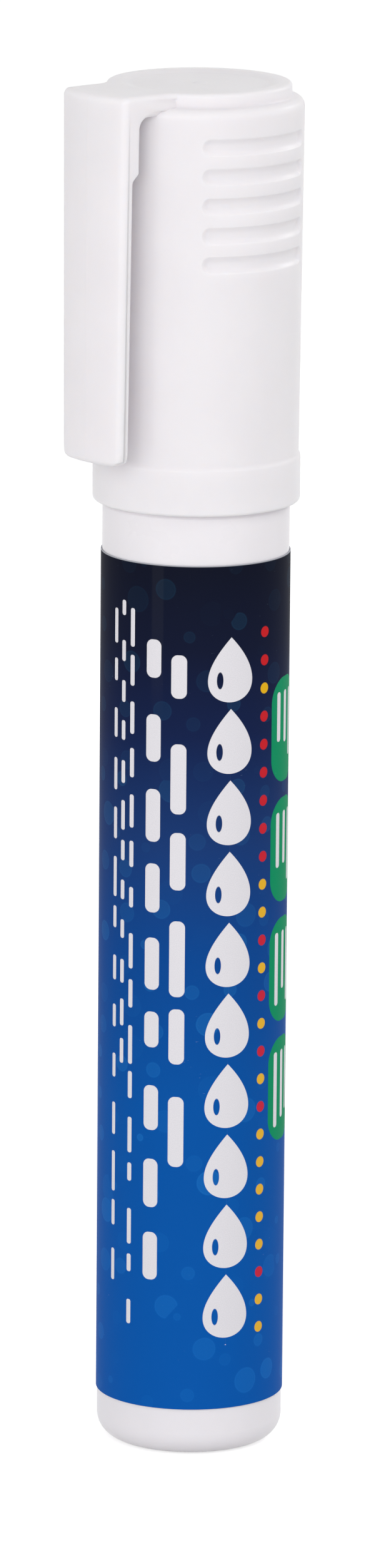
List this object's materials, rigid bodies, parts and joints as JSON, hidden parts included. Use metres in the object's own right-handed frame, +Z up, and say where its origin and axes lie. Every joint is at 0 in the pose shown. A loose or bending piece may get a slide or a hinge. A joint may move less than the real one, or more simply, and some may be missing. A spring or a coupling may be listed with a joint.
{
  "type": "stain remover pen",
  "caption": "Capped valve-action felt pen for stains: round-bottomed barrel with a wrap label, ribbed cap with a broad clip, spring valve, felt nib and loose mixing balls.",
  "frame": {"origin": "centre of the flat base face that the pen stands on", "axes": "+Z up the pen to the cap, the clip faces -Y, the grip grooves face -X and +X"},
  "size_m": [0.019, 0.0225, 0.126],
  "materials": {
    "white_plastic": "satin moulded white polypropylene",
    "cap_plastic": "satin moulded white polypropylene, slightly translucent",
    "label_film": "printed gloss film, navy at the cap end and bright blue at the base",
    "natural_plastic": "satin natural polyethylene",
    "seal_rubber": "matt",
    "spring_steel": "drawn wire",
    "ball_steel": "polished ball",
    "nib_felt": "bonded felt"
  },
  "bodies": {
    "pen": {"barrel": "white_plastic", "label": "label_film", "nib_holder": "white_plastic", "valve_body": "natural_plastic", "valve_seat": "seal_rubber", "valve_spring": "spring_steel", "spring_retainer": "natural_plastic"},
    "nib_and_stem": {"nib": "nib_felt", "valve_stem": "natural_plastic"},
    "ball_1": {"mixing_ball_1": "ball_steel"},
    "ball_2": {"mixing_ball_2": "ball_steel"},
    "capped_end": {"cap": "cap_plastic", "cap_liner": "natural_plastic"}
  },
  "joints": [
    {"name": "cap_pull", "type": "slide", "parent": "pen", "child": "capped_end", "axis": [0, 0, 1], "range_m": [0, 0.045]},
    {"name": "nib_press", "type": "slide", "parent": "pen", "child": "nib_and_stem", "axis": [0, 0, -1], "range_m": [0, 0.0018], "stiffness_N_per_m": 350, "springref_m": -0.002, "deforming": ["valve_spring"]},
    {"name": "ball_1_shake", "type": "slide", "parent": "pen", "child": "ball_1", "axis": [0, 0, 1], "range_m": [0, 0.0773]},
    {"name": "ball_2_shake", "type": "slide", "parent": "pen", "child": "ball_2", "axis": [0, 0, 1], "range_m": [0, 0.0773]}
  ]
}
